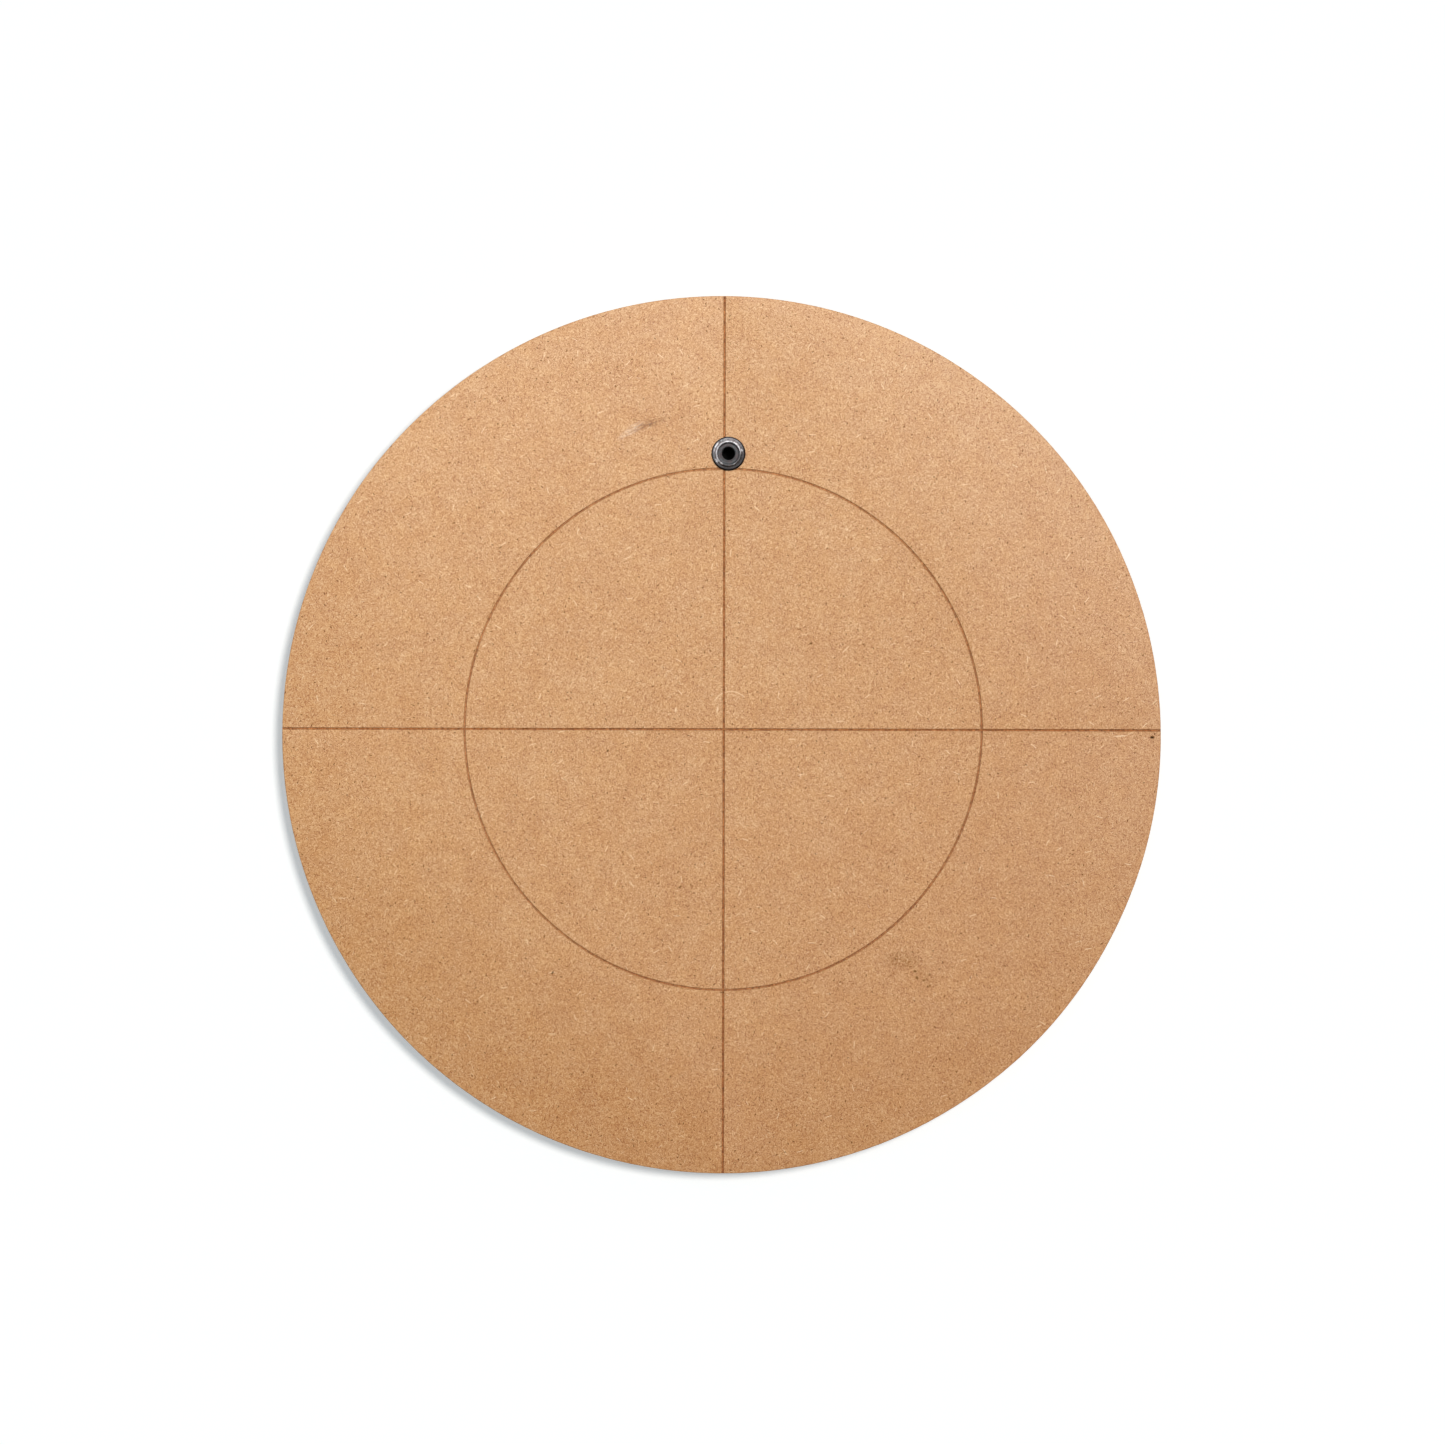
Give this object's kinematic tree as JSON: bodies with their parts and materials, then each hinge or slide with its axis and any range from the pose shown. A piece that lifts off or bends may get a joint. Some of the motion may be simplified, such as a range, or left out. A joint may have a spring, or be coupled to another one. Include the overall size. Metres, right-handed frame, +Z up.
{
  "type": "crokinole board",
  "caption": "Round fibreboard game board scored with a ring and crossing lines, with a flanged steel peg socket and rubber feet.",
  "frame": {"origin": "on the surface the feet stand on, straight under the middle of the disc", "axes": "+Z up out of the playing face; +Y from the middle of the disc towards the peg socket"},
  "size_m": [0.344, 0.344, 0.012],
  "materials": {
    "fibreboard": "raw, smooth-sanded, matt",
    "dark_steel": "dark, worn bright on the rims",
    "plated_steel": "dull zinc plate",
    "rubber": "matt"
  },
  "bodies": {
    "root": {"playing_board": "fibreboard", "peg_socket": "dark_steel", "rim_washer": "dark_steel", "back_washer": "plated_steel", "lock_nut": "plated_steel", "rubber_foot_1": "rubber", "rubber_foot_2": "rubber", "rubber_foot_3": "rubber", "rubber_foot_4": "rubber"}
  },
  "joints": []
}
